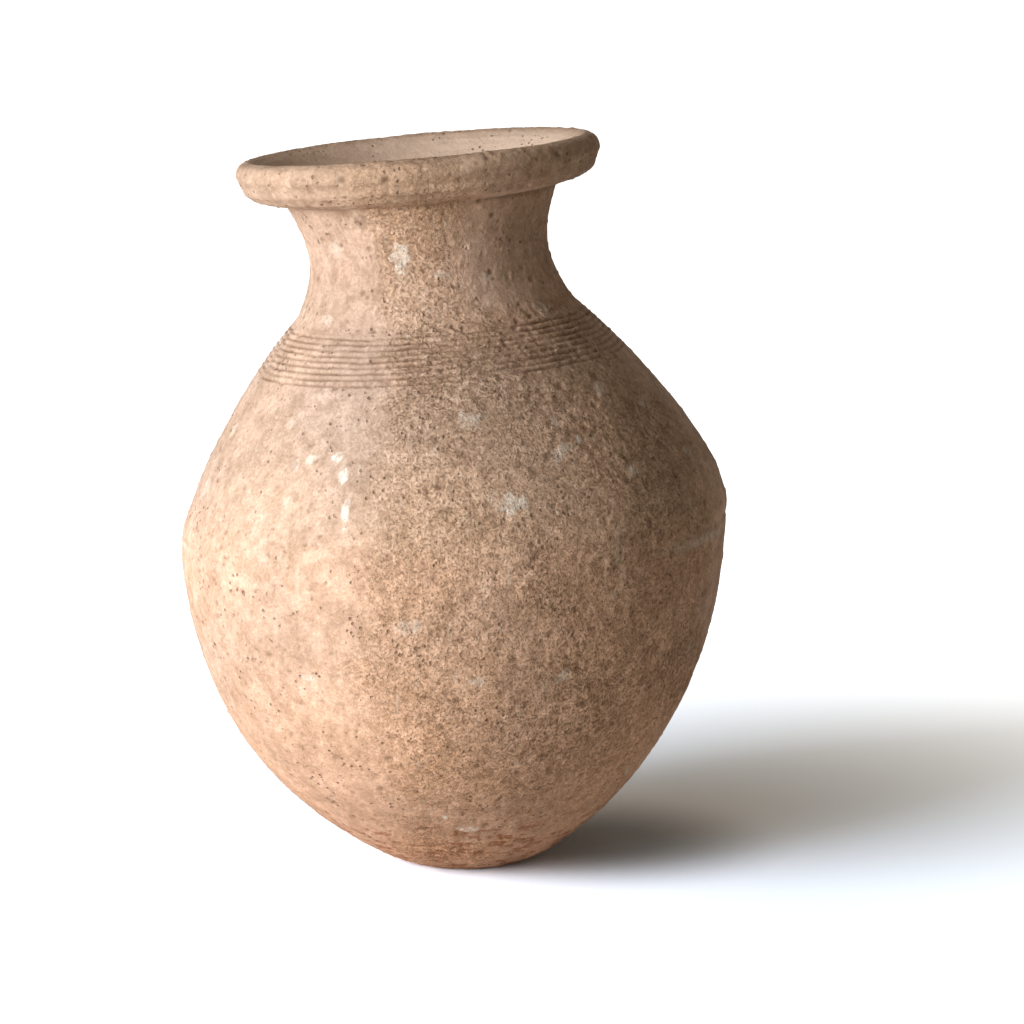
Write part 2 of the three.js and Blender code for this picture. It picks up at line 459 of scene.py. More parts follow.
def add_crust():
    rough = marks["rough"] * OFF_FLAT
    grains = np.maximum(0, bumps(PLACES, COARSE_GRAINS)) + bumps(PLACES, FINE_GRAINS)
    chips = spots(noise, PLACES, *CHIPS) * raised_to(CHIPS_ON_PLAIN_CLAY, rough)
    small = spots(noise, PLACES, *SMALL_CHIPS) * rough
    lift[:] += rough * grains - (CHIP_DEPTH * chips + SMALL_CHIP_DEPTH * small) * OFF_FLAT
    marks["dark"] += CHIP_DIRT * chips + SMALL_CHIP_DIRT * small


# The comb's strokes: the angles where they start, how far each strays up or down, and the degrees
# over which it starts ahead of its place, comes in and fades out past the next one's start
COMB_STROKES = (332, 38, 118, 196, 262)
STROKE_STRAY = 0.9
STROKE_LEAD = 6
STROKE_COMES_IN = (0, 5)
STROKE_FADES = (2, 8)
# How a line wanders and how hard the comb presses: amount, size on a circle of this radius, how far
# apart the noises of two lines are, and seed
LINE_CIRCLE = 14.0
LINE_WANDER = ((0.5, 9, 1.6, 17), (0.3, 2.4, 40, 18))
PRESSURE = 0.72
PRESSURE_CHANGES = ((0.5, 3, 70, 19), (0.3, 0.9, 90, 20))
# The clay pushed up beside a line, the dirt in it, and where crust hides the lines (angle, width
# and share) or wear has thinned them
BURR_RISE = 0.24
BURR_AT = 1.75
BURR_SHARPNESS = 3
COMB_DIRT = 0.85
COMB_HIDDEN = ((281, 24, 0.45), (332, 5, 0.6))
COMB_WEAR = 0.4
COMB_WORN = (24, 15, 0.1, 0.5)


def along_line(line, changes):
    """Random changes along one combed line, for every column."""
    circle = turned(np.full(1, LINE_CIRCLE), np.zeros(1), ANGLES)[0]
    return sum(
        amount * noise(circle + (0, 0, line * apart), size, seed)
        for amount, size, apart, seed in changes
    )


def stroke_share(stroke):
    """1 where that stroke of the comb runs, with an overlap on the next one."""
    start = COMB_STROKES[stroke]
    span = (COMB_STROKES[(stroke + 1) % len(COMB_STROKES)] - start) % 360
    ahead = (DEGREES - start + STROKE_LEAD) % 360
    return smoothstep(ahead, *STROKE_COMES_IN) * (1 - smoothstep(ahead - span, *STROKE_FADES))


def add_comb_lines():
    """Lines drawn with a comb in a few strokes, with breaks where one stroke ends on another."""
    rng = np.random.default_rng(SEED + 1)
    shifts = rng.uniform(-STROKE_STRAY, STROKE_STRAY, len(COMB_STROKES))
    hidden = np.maximum(*(near(degrees, width) * share for degrees, width, share in COMB_HIDDEN))
    left = (1 - hidden) * (1 - COMB_WEAR * spots(layered, PLACES, *COMB_WORN))
    for line in range(COMB_LINES):
        middle = NECK_AT - COMB_TOP_MARGIN - line * COMB_PITCH + along_line(line, LINE_WANDER)
        press = PRESSURE + along_line(line, PRESSURE_CHANGES)
        for stroke, shift in enumerate(shifts):
            across = (AT - middle - shift) / COMB_HALF_WIDTH
            burr = BURR_RISE * np.exp(-((np.abs(across) - BURR_AT) ** 2) * BURR_SHARPNESS)
            depth = (np.exp(-(across**2)) - burr) * stroke_share(stroke) * press * left
            lift[:] -= COMB_DEPTH * depth
            marks["dark"] += COMB_DIRT * np.clip(depth, 0, 1)


# The luted joint round the belly: its groove, which is deepest at the left and right sides
SEAM_HALF_WIDTH = 1.15
SEAM_WANDER = 0.4
SEAM_WANDER_SIZE = 20
SEAM_DEPTH_IN_FRONT = 0.04
SEAM_DEPTH_AT_SIDES = 0.78
SEAM_SIDES = ((184, 34), (356, 40))
SEAM_EVENNESS = 0.6
SEAM_BREAKS = 9
SEAM_DIRT = 0.4
# What stands up beside the joint: distance above it, half width, angle and width round the jar,
# rise and lime. They are the upper section's edge and a ridge at the right, and a ledge at the left.
SEAM_EDGE = (5.2, 3.6, 352, 36, 0.55, 0.0)
SEAM_RIDGE = (-2.6, 1.5, 336, 26, 0.34, 0.5)
SEAM_LEDGE = (-2.4, 1.3, 190, 20, 0.3, 0.45)
RIDGE_EVENNESS = 0.8
RIDGE_BREAKS = (0.5, 5, 23)


def add_beside_seam(up, half_width, degrees, width, rise, lime, evenness=1.0):
    line = band(BELLY_AT + up, half_width) * near(degrees, width)
    lift[:] += rise * line * evenness
    marks["lime"] += lime * line


def add_seam():
    """The luted joint round the belly: a groove, and a ridge that stands over it at the right."""
    sides = np.maximum(*(near(*side) for side in SEAM_SIDES))
    groove = band(BELLY_AT + SEAM_WANDER * noise(PLACES, SEAM_WANDER_SIZE, 21), SEAM_HALF_WIDTH)
    depth = SEAM_DEPTH_IN_FRONT + SEAM_DEPTH_AT_SIDES * sides
    depth = depth * raised_to(SEAM_EVENNESS, noise(PLACES, SEAM_BREAKS, 22))
    lift[:] -= depth * groove
    marks["dark"] += SEAM_DIRT * groove * np.clip(depth, 0, 1)
    add_beside_seam(*SEAM_EDGE)
    add_beside_seam(*SEAM_RIDGE, RIDGE_EVENNESS + bumps(PLACES, RIDGE_BREAKS))
    add_beside_seam(*SEAM_LEDGE)


# A mark is worked out as far as this many times its half size, on a ring of at least this radius
MARK_REACH = 2
LEAST_RING = 4.0
# How steep a dent's side and how narrow its bottom is, and how blunt a grit's top is
DENT_STEEPNESS = 1.4
DENT_NARROWNESS = 1.3
GRIT_BLUNTNESS = 0.7
# A blotch's ragged edge, and the level flakes that a scuff is broken into
RAGGED_EDGE = ((0.42, 5, 31), (0.3, 2.4, 32))
BLOTCH_EDGE = (0.2, 0.42)
SCUFF_FLAKES = ((8, 8, 2.4), 33, -0.22, -0.08)


def window(at, degrees, long, wide):
    """Rows and columns near a place, and how far each is from it, in shares of long and wide."""
    first, last = np.searchsorted(ROW_AT, (at - MARK_REACH * long, at + MARK_REACH * long))
    if first >= last:
        return None
    ring = max(float(np.interp(at, ROW_AT, ROW_RADIUS)), LEAST_RING)
    step = 2 * math.pi * ring / COLUMNS
    centre = degrees / 360 * COLUMNS
    reach = int(math.ceil(MARK_REACH * wide / step))
    columns = np.arange(int(centre) - reach, int(centre) + reach + 2)
    along = (ROW_AT[first:last, None] - at) / long
    across = (columns[None, :] - centre) * step / wide
    return np.ix_(np.arange(first, last), columns % COLUMNS), along, across


def dent(at, degrees, long, wide, depth, darkness):
    found = window(at, degrees, long, wide)
    if found is None:
        return
    cells, along, across = found
    shape = np.exp(-((along**2 + across**2) ** DENT_STEEPNESS) * DENT_NARROWNESS)
    lift[cells] -= depth * shape
    marks["dark"][cells] = np.maximum(marks["dark"][cells], darkness * shape)


def grit(at, degrees, size, rise):
    found = window(at, degrees, size, size)
    if found is None:
        return
    cells, along, across = found
    shape = np.clip(1 - along**2 - across**2, 0, 1) ** GRIT_BLUNTNESS
    lift[cells] += rise * shape


def patch(height, degrees, long, wide, mark, strength, rise):
    """A blotch with a ragged edge, such as lime crust, dirt or a scuff."""
    found = window(distance_at_height(height), degrees, long, wide)
    if found is None:
        return
    cells, along, across = found
    inside = 1 - np.hypot(along, across) + bumps(PLACES[cells], *RAGGED_EDGE)
    shape = smoothstep(inside, *BLOTCH_EDGE)
    if mark == "scuff":
        shape = shape * spots(noise, GIRTH[cells], *SCUFF_FLAKES)
    marks[mark][cells] = np.maximum(marks[mark][cells], strength * shape)
    lift[cells] += rise * shape


# Pits that the front shows one by one: height, angle, half length and depth
FRONT_PITS = (
    (139.5, 206, 1.1, 0.6),
    (131, 205, 1.3, 0.7),
    (147, 214, 1, 0.6),
    (139, 216, 1.2, 0.6),
    (128, 213, 1, 0.5),
    (163, 328, 1.7, 0.8),
    (139, 321, 1.6, 0.8),
    (151, 336, 1.5, 0.7),
    (145, 331, 1.3, 0.7),
    (151, 315, 1.3, 0.6),
    (127, 314, 1.2, 0.6),
    (271, 243, 1.3, 0.7),
    (262, 228, 1.2, 0.6),
    (283, 247, 1.2, 0.7),
    (290.5, 248, 1.7, 0.9),
    (289.5, 262, 1.9, 1),
    (292, 320, 1.6, 0.8),
    (276.5, 296, 1.3, 0.7),
    (270, 303, 1.2, 0.7),
)


FRONT_PIT_WIDTH = 1.1
FRONT_PIT_DIRT = 0.9
# Random pits and grits: how many are tried, between which distances, and the limits of their half
# length, of a pit's half width and depth as shares of that, of its dirt, and of a grit's rise
PIT_TRIES = 5200
GRIT_TRIES = 4200
PITS_BETWEEN = (2, THROAT_AT - 4)
PITS_ON_NECK = 0.45
PIT_SIZE = (0.55, 1.5)
PIT_WIDTH = (0.8, 1.5)
PIT_DEPTH = (0.3, 0.6)
PIT_DIRTINESS = (0.35, 0.85)
GRIT_SIZE = (0.7, 1.5)
GRIT_RISE = (0.12, 0.34)


def add_pits():
    for height, degrees, size, depth in FRONT_PITS:
        at = distance_at_height(height)
        dent(at, degrees, size, size * FRONT_PIT_WIDTH, depth, FRONT_PIT_DIRT)
    rng = np.random.default_rng(SEED + 2)
    for _ in range(PIT_TRIES):
        at = rng.uniform(*PITS_BETWEEN)
        degrees = rng.uniform(0, 360)
        keep, bigness, roundness, tone = rng.random(4)
        share = np.interp(at, ROW_AT, ROW_RADIUS) / ROW_RADIUS.max()
        if at > NECK_AT:
            share = share * PITS_ON_NECK
        if keep > share or at > CREST_AT:
            continue
        size = between(PIT_SIZE, bigness**3)
        wide = size * between(PIT_WIDTH, roundness)
        dent(at, degrees, size, wide, size * between(PIT_DEPTH, tone), between(PIT_DIRTINESS, tone))
    for _ in range(GRIT_TRIES):
        at = rng.uniform(*PITS_BETWEEN)
        degrees = rng.uniform(0, 360)
        bigness, rise = rng.random(2)
        if at <= CREST_AT:
            grit(at, degrees, between(GRIT_SIZE, bigness**2), between(GRIT_RISE, rise))


# Lime and pale crust that the front shows: height, angle, half length, half width and strength
LIME_PATCHES = (
    (177.5, 246, 6, 2.4, 1),
    (165, 247.5, 6, 2, 0.9),
    (185, 243.5, 2.6, 2.6, 0.9),
    (165.6, 283.5, 6, 8, 0.55),
    (183.7, 304.5, 2.6, 4, 0.6),
    (169.9, 314.5, 3, 3.4, 0.55),
    (182, 232, 3, 2.4, 0.45),
    (256.9, 258, 8, 5, 0.5),
    (34.5, 268, 1.8, 1.6, 0.8),
    (27.9, 274, 3, 6, 0.5),
    (120, 262, 4, 6, 0.35),
    (98, 295, 5, 4, 0.35),
    (196, 278, 5, 7, 0.4),
)
# Reddish scuffs low on the front: height, angle, half length, half width and strength
SCUFFS = (
    (28, 263, 2.6, 5, 0.9),
    (18.5, 268, 3.6, 7, 1),
    (20.4, 290, 7, 12, 1),
    (13, 275, 4, 12, 0.8),
    (27, 300, 4, 9, 0.7),
    (36, 292, 2.6, 6, 0.5),
)


LIME_RISE = 0.16
SCUFF_DEPTH = 0.3
RIM_DIRT = (273, 244, 4.0, 6.0, "soil_and_painted_shade", 0.75, 0.05)
# Random lime spots: how many, and the limits of their height, half size and strength
LIME_SPOTS = 70
SPOT_HEIGHT = (45, 285)
SPOT_SIZE = (1.5, 6)
SPOT_STRENGTH = (0.2, 0.5)
SPOT_RISE = 0.1
# Flakes worn off low on the jar, thinning out between two heights and ending at a third
FLAKE_SIZE = (8, 8, 2.6)
FLAKE_CLUSTERS = (0.5, 14, 36)
FLAKE_EDGE = (1.2, 1.34)
FLAKES_THIN_OUT = (12, 46)
FLAKES_END = 60
FLAKE_DEPTH = 0.26
FLAKE_REDNESS = 0.85


def add_crusts_and_scuffs():
    for height, degrees, long, wide, strength in LIME_PATCHES:
        patch(height, degrees, long, wide, "lime", strength, LIME_RISE)
    for height, degrees, long, wide, strength in SCUFFS:
        patch(height, degrees, long, wide, "scuff", strength, -SCUFF_DEPTH)
    patch(*RIM_DIRT)
    rng = np.random.default_rng(SEED + 3)
    for _ in range(LIME_SPOTS):
        height = rng.uniform(*SPOT_HEIGHT)
        degrees = rng.uniform(0, 360)
        long = rng.uniform(*SPOT_SIZE)
        wide = rng.uniform(*SPOT_SIZE)
        strength = rng.uniform(*SPOT_STRENGTH)
        patch(height, degrees, long, wide, "lime", strength, SPOT_RISE)
    chance = noise(GIRTH, FLAKE_SIZE, 35) + bumps(PLACES, FLAKE_CLUSTERS)
    chance += 1 - smoothstep(HEIGHT, *FLAKES_THIN_OUT)
    flakes = smoothstep(chance, *FLAKE_EDGE) * OFF_FLAT * (HEIGHT < FLAKES_END)
    lift[:] -= FLAKE_DEPTH * flakes
    marks["scuff"] = np.maximum(marks["scuff"], FLAKE_REDNESS * flakes)


# Upright scratches and runs down the neck: where they start above its foot and end below the crease
STREAKS_START = (2, 9)
STREAKS_END = (-6, 0)
STREAK_SIZE = (1.9, 1.9, 16)
STREAKS_ON_PLAIN_CLAY = 0.35
STREAK_DEPTH = 0.16
STREAK_LIME = 0.22


def add_neck_streaks():
    on_neck = above(NECK_AT, *STREAKS_START) * (1 - above(CREASE_AT, *STREAKS_END))
    streaks = noise(GIRTH, STREAK_SIZE, 41) * raised_to(STREAKS_ON_PLAIN_CLAY, marks["rough"])
    lift[:] -= STREAK_DEPTH * np.abs(streaks) * on_neck
    marks["lime"] += STREAK_LIME * np.clip(streaks, 0, 1) * on_neck


# The rim's face, from its lower corner to its crest: coarse and fine grains, fewer at the left,
# long waves, specks with their dirt, and nicks with their depth and dirt
RIM_STARTS = (8, 14)
RIM_ENDS = (-1, 4)
RIM_COARSE_GRAINS = (0.2, 3.6, 45)
RIM_FINE_GRAINS = (0.12, 2.2, 46)
RIM_GRAIN_SHARE = (1, -0.75, 212, 30)
RIM_WAVES = (0.16, 17, 47)
RIM_SPECKS = (2.6, 49)
RIM_SPECK_DIRT = 0.2
NICKS = ((7, 7, 3.2), 48, 0.34, 0.5)
NICK_DEPTH = 0.14
NICK_DIRT = 0.16


def add_rim_grain(on_rim):
    grains = np.maximum(0, bumps(PLACES, RIM_COARSE_GRAINS)) + bumps(PLACES, RIM_FINE_GRAINS)
    nicks = spots(noise, GIRTH, *NICKS)
    waves = bumps(PLACES, RIM_WAVES)
    lift[:] += on_rim * (around(*RIM_GRAIN_SHARE) * grains + waves - NICK_DEPTH * nicks)
    specks = np.clip(noise(PLACES, *RIM_SPECKS), 0, 1)
    marks["dark"] += on_rim * (NICK_DIRT * nicks + RIM_SPECK_DIRT * specks)


# Under the rim: lines of dirt in the crease (distance above it, half width and share), the dirt
# round the jar and how broken it is, the crease's own depth, and soil on the rim's face
CREASE_DIRT_LINES = ((0, 1.6, 1), (3.2, 0.9, 0.6))
CREASE_DIRT = (0.45, 0.45, 300, 45)
CREASE_DIRT_EVENNESS = 0.7
CREASE_DIRT_BREAKS = (0.5, 8, 50)
CREASE_DEPTH = 0.35
CREASE_WIDTH = 1.1
CREASE_EVENNESS = 0.6
CREASE_BREAKS = (0.5, 6, 51)
RIM_SOIL = (0, 0.5, 300, 60)
RIM_SOIL_SPOTS = (15, 52, -0.1, 0.4)
FRONT_SOIL = (0, 0.3, 275, 70)


def add_crease_dirt(on_rim):
    lines = sum(share * band(CREASE_AT + up, width) for up, width, share in CREASE_DIRT_LINES)
    evenness = CREASE_DIRT_EVENNESS + bumps(PLACES, CREASE_DIRT_BREAKS)
    marks["dark"] += lines * around(*CREASE_DIRT) * evenness
    depth = CREASE_DEPTH * (CREASE_EVENNESS + bumps(PLACES, CREASE_BREAKS))
    lift[:] -= depth * band(CREASE_AT, CREASE_WIDTH)
    soil_and_painted_shade = around(*RIM_SOIL) * spots(layered, PLACES, *RIM_SOIL_SPOTS) + around(*FRONT_SOIL)
    marks["soil_and_painted_shade"] += on_rim * soil_and_painted_shade


# How the rim's face departs from its profile: place, half width and rise. The groove between the
# beads is filled at both ends, and the lower corner is worn and the crest fuller, most in front.
CORNER_AT = distance_at_height(CREASE_HEIGHT + RIM_FACE[1][1])
GROOVE_AT = distance_at_height(CREASE_HEIGHT + RIM_FACE[3][1])
RIM_BENDS = (
    (GROOVE_AT, 2.0, (0, 0.75, 345, 75)),
    (GROOVE_AT, 2.0, (0, 0.75, 180, 70)),
    (CORNER_AT - 0.5, 3.2, (-0.55, -0.8, 275, 95)),
    (CREST_AT - 1, 5, (0.2, 0.7, 270, 120)),
)

# The mouth inside the crest: turning lines, painted shade at the left, where the inside wall faces
# away from the lamp, a cream surface with painted light that makes it palest at the right, where the
# lamp falls on the inside wall, and less dirt than outside
MOUTH_STARTS = (1, 8)
MOUTH_LINES = (0.14, (60, 60, 3.5), 53)
MOUTH_PAINTED_SHADE = (0, 0.35, 195, 60)
MOUTH_CREAM_AND_PAINTED_LIGHT = (0.45, 0.4, 30, 110)
MOUTH_CLEANNESS = 0.7


def finish_mouth():
    mouth = above(CREST_AT, *MOUTH_STARTS)
    lift[:] += mouth * bumps(GIRTH, MOUTH_LINES)
    # Painted shade: the soil mark darkens the inside of the mouth at the left.
    marks["soil_and_painted_shade"] += mouth * around(*MOUTH_PAINTED_SHADE)
    # A cream colour all round the mouth, with more of it at the right as painted light.
    marks["cream_and_painted_light"] += mouth * around(*MOUTH_CREAM_AND_PAINTED_LIGHT)
    marks["dark"] *= 1 - MOUTH_CLEANNESS * mouth


def add_rim_wear():
    on_rim = above(CREASE_AT, *RIM_STARTS) * (1 - above(CREST_AT, *RIM_ENDS))
    add_rim_grain(on_rim)
    add_crease_dirt(on_rim)
    for at, width, rise in RIM_BENDS:
        lift[:] += around(*rise) * band(at, width)
    finish_mouth()


# The flat underneath: how sharply it starts, and its pits
FLAT_EDGE = 0.6
FLAT_PIT_SIZE = 9
FLAT_PIT_DEPTH = 0.3


def shape_outside():
    marks["rough"][:] = rough_places()
    add_hand_shaping()
    add_crust()
    add_comb_lines()
    add_seam()
    add_neck_streaks()
    add_rim_wear()
    add_crusts_and_scuffs()
    add_pits()
    outside_flat = above(0, -FLAT_EDGE, FLAT_EDGE)
    flat_pits = FLAT_PIT_DEPTH * np.clip(layered(PLACES, FLAT_PIT_SIZE, 55), 0, 1)
    lift[:] = lift * outside_flat - flat_pits * (1 - outside_flat)
    for mark in marks.values():
        np.clip(mark, 0, 1, out=mark)
    raised = PLACES.copy()
    raised[..., 0] += lift * ROW_OUT[:, 0, None] * np.cos(ANGLES)
    raised[..., 1] += lift * ROW_OUT[:, 0, None] * np.sin(ANGLES)
    raised[..., 2] += lift * ROW_OUT[:, 1, None]
    return lean_over(raised)


# The inside: the ridges that the potter's fingers left and lumps, as height, size and seed. They fade
# out towards the middle of the floor and before the crease, where the rim has its own throat.
FINGER_RIDGES = (0.45, (60, 60, 9), 61)
INSIDE_LUMPS = ((0.3, 22, 62), (0.12, 7, 63))
FLOOR_FADE = (3, 20)
CREASE_FADE = 10


def inside_places(points, distance):
    angles = np.arange(INNER_COLUMNS) * 2 * math.pi / INNER_COLUMNS
    places = turned(points[:, 0], points[:, 1], angles)
    rings = places.copy()
    rings[..., 2] = distance[:, None]
    ridges = bumps(rings, FINGER_RIDGES) + bumps(places, *INSIDE_LUMPS)
    off_middle = smoothstep(points[:, 0], *FLOOR_FADE)[:, None]
    below_crease = 1 - smoothstep(distance, CREASE_AT - CREASE_FADE, CREASE_AT)[:, None]
    outwards = -ridges * off_middle * below_crease
    places[..., 0] += outwards * np.cos(angles)
    places[..., 1] += outwards * np.sin(angles)
    return lean_over(places)


# Meshes


def add_strip(faces, lower, upper):
    """Quads between two rings of as many points, facing out when upper lies further along."""
    quads = np.stack([lower, np.roll(lower, -1), np.roll(upper, -1), upper], -1)
    faces.append(quads)


def add_joint(faces, fine, coarse, flipped):
    """Triangles of a joint face, between an outer ring and an inner ring of fewer points."""
    many = len(fine) // len(coarse)
    inner = np.repeat(coarse, many)
    triangles = [np.stack([inner, fine, np.roll(fine, -1)], -1)]
    last = fine[np.arange(1, len(coarse) + 1) * many % len(fine)]
    triangles.append(np.stack([coarse, last, np.roll(coarse, -1)], -1))
    for group in triangles:
        faces.append(group[:, ::-1] if flipped else group)


# The base: rows of points on its dished floor, and how far the middle of the flat is hollowed
FLOOR_ROWS = 16
FLAT_HOLLOW = 0.3


class Shell:
    """Collects the points, faces and marks of one piece."""

    def __init__(self):
        self.points = []
        self.values = {name: [] for name in marks}
        self.smooth = []
        self.flat = []
        self.count = 0

    def add_points(self, places, values=None):
        rows, columns = places.shape[:2]
        self.points.append(places.reshape(-1, 3))
        for name, kept in self.values.items():
            empty = np.zeros(rows * columns)
            kept.append(empty if values is None else values[name].reshape(-1))
        first = self.count
        self.count += rows * columns
        return np.arange(first, self.count).reshape(rows, columns)

    def add_rings(self, rings):
        for lower, upper in zip(rings[:-1], rings[1:]):
            add_strip(self.smooth, lower, upper)

    def add_cap(self, pole, ring, flipped):
        fan = np.stack([np.full(len(ring), pole), np.roll(ring, -1), ring], -1)
        self.smooth.append(fan[:, ::-1] if flipped else fan)

    def make(self, name, material):
        mesh = bpy.data.meshes.new(name)
        points = np.vstack(self.points) * MM
        groups = [(faces, True) for faces in self.smooth] + [(faces, False) for faces in self.flat]
        corners = np.concatenate([faces.reshape(-1) for faces, _ in groups])
        sizes = np.concatenate([np.full(len(faces), faces.shape[1]) for faces, _ in groups])
        shades = np.concatenate([np.full(len(faces), smooth) for faces, smooth in groups])
        mesh.vertices.add(len(points))
        mesh.vertices.foreach_set("co", points.ravel().astype(np.float32))
        mesh.loops.add(len(corners))
        mesh.loops.foreach_set("vertex_index", corners.astype(np.int32))
        mesh.polygons.add(len(sizes))
        starts = np.concatenate(([0], np.cumsum(sizes)[:-1]))
        mesh.polygons.foreach_set("loop_start", starts.astype(np.int32))
        mesh.polygons.foreach_set("use_smooth", shades)
        mesh.update(calc_edges=True)
        mesh.validate()
        mesh.set_sharp_from_angle(angle=math.radians(SHARP_FROM))
        for mark, kept in self.values.items():
            layer = mesh.attributes.new(mark, "FLOAT", "POINT")
            layer.data.foreach_set("value", np.concatenate(kept).astype(np.float32))
        mesh.materials.append(material)
        piece = bpy.data.objects.new(name, mesh)
        bpy.context.collection.objects.link(piece)
        return piece


OUTSIDE = shape_outside()


def rows_between(start, end):
    first = int(np.searchsorted(ROW_AT, start - 1e-6))
    last = int(np.searchsorted(ROW_AT, end + 1e-6))
    return slice(first, last)


def outside_of(shell, start, end):
    rows = rows_between(start, end)
    return shell.add_points(OUTSIDE[rows], {name: mark[rows] for name, mark in marks.items()})


def wall_section(name, start, end, material):
    """A ring of the jar's wall between two joints."""
    shell = Shell()
    outer = outside_of(shell, start, end)
    distance = np.linspace(start, end, round((end - start) / ROWS_INSIDE) + 1)
    inner = shell.add_points(inside_places(inner_at(distance), distance))
    shell.add_rings(outer)
    shell.add_rings(inner[::-1])
    add_joint(shell.flat, outer[-1], inner[-1], False)
    add_joint(shell.flat, outer[0], inner[0], True)
    return shell.make(name, material)


def base_section(name, material):
    """The pad of the foot, with its resting flat and the dished floor inside."""
    shell = Shell()
    outer = outside_of(shell, -FOOT_RADIUS, BASE_AT)
    edge = inner_at(np.array([BASE_AT]))[0]
    middle = np.array([edge[0] / 2, FLOOR_THICKNESS])
    t = np.linspace(0, 1, FLOOR_ROWS + 1)[:-1, None]
    floor = edge * (1 - t) ** 2 + 2 * middle * t * (1 - t) + np.array([0, FLOOR_THICKNESS]) * t * t
    inner = shell.add_points(inside_places(floor, np.full(len(floor), BASE_AT)))
    shell.add_rings(outer)
    shell.add_rings(inner)
    add_joint(shell.flat, outer[-1], inner[0], False)
    middles = np.array([[[0.0, 0.0, FLAT_HOLLOW]], [[0.0, 0.0, FLOOR_THICKNESS]]])
    poles = shell.add_points(lean_over(middles))
    shell.add_cap(poles[0, 0], outer[0], False)
    shell.add_cap(poles[1, 0], inner[-1], True)
    return shell.make(name, material)


def rim_section(name, material):
    """The lip, from the crease over its crest to the throat."""
    shell = Shell()
    outer = outside_of(shell, CREASE_AT, THROAT_AT)
    shell.add_rings(outer)
    add_strip(shell.flat, outer[-1], outer[0])
    return shell.make(name, material)


# Fired clay

# Colours of the clay by height in metres, from the foot to the rim
CLAY_BY_HEIGHT = (
    (0.00, (0.70, 0.41, 0.26)),
    (0.05, (0.80, 0.50, 0.33)),
    (0.10, (0.78, 0.505, 0.345)),
    (0.14, (0.76, 0.495, 0.34)),
    (0.158, (0.70, 0.48, 0.34)),
    (0.22, (0.66, 0.455, 0.325)),
    (0.25, (0.66, 0.435, 0.30)),
    (0.277, (0.63, 0.415, 0.28)),
    (0.30, (0.60, 0.405, 0.275)),
)
CLAY_TOP = 0.31
HEIGHT_WOBBLE = 0.03
LIME = (0.88, 0.82, 0.73, 1)
# Cream of the mouth, laid on more thickly at the right as painted light
CREAM_AND_PAINTED_LIGHT = (0.84, 0.66, 0.53, 1)
PIT_DIRT = (0.16, 0.085, 0.045, 1)
FLECK = (0.27, 0.155, 0.09, 1)
# Soil on the rim, and painted shade inside the mouth at the left
SOIL_AND_PAINTED_SHADE = (0.30, 0.20, 0.135, 1)
SCUFF_RED = (0.34, 0.135, 0.062, 1)
PALE_SCRATCH = (0.8, 0.66, 0.53, 1)
# What smooth clay without grit is multiplied by
SMOOTH_CLAY = (1.0, 1.05, 1.13, 1)

# Mottling of the firing, from broad clouds to fine ones: amount, the noise (scale, detail, roughness
# and offset), its span, and what the colour is multiplied by at the low and the high end of it
MOTTLING = (
    (0.75, (11, 3, 0.55, 2.0), (0.35, 0.65), (0.86, 0.87, 0.9, 1), (1.06, 1.03, 1.0, 1)),
    (0.8, (48, 5, 0.6, 0.0), (0.36, 0.66), (0.85, 0.84, 0.82, 1), (1.07, 1.08, 1.1, 1)),
    (0.85, (170, 5, 0.65, 0.0), (0.34, 0.68), (0.8, 0.78, 0.75, 1), (1.1, 1.12, 1.15, 1)),
)
# Single grains and angular flakes of clay, in the same way
GRAIN_NOISE = (950, 3, 0.65)
GRAIN_SPAN = (0.32, 0.7)
GRAIN_DARK = (0.7, 0.66, 0.62, 1)
GRAIN_LIGHT = (1.15, 1.18, 1.2, 1)
FLAKE_CELLS = 620
FLAKE_WANDER_SCALE = 300
FLAKE_WANDER = 0.003
FLAKE_SPAN = (0.05, 0.95)
FLAKE_DARK = (0.74, 0.71, 0.68, 1)
FLAKE_LIGHT = (1.16, 1.18, 1.19, 1)

# How the marks at the points of the meshes colour the clay: colour, span of the ragged noise with
# the share at its low and its high end, and the most
MARK_COLOURS = {
    "lime": (LIME, (0.42, 0.54, 0.3, 1.1), 0.9),
    "soil_and_painted_shade": (SOIL_AND_PAINTED_SHADE, (0.4, 0.6, 0.35, 0.95), 1.0),
    "scuff": (SCUFF_RED, (0.42, 0.54, 0.35, 1.0), 1.0),
}
CREAM_AND_PAINTED_LIGHT_SHARE = 0.8
FLECK_SHARE = 0.78
SCRATCH_SHARE = 0.3
SPECK_SHARE = 0.55
DARK_SHARE = 0.72

# Fine relief: its strength and depth in metres, the depth of specks and flecks in it, and how much of
# the flakes, grains and lumps there is on smooth and on gritty clay
BUMP_STRENGTH = 0.85
BUMP_DISTANCE = 0.0012
SPECK_BUMP = 0.7
FLECK_BUMP = 0.5
FLAKE_BUMP = (0.06, 0.5)
GRAIN_BUMP = (0.2, 0.9)
LUMP_BUMP = (0.35, 0.9)
SHEEN_LEVEL = 0.22


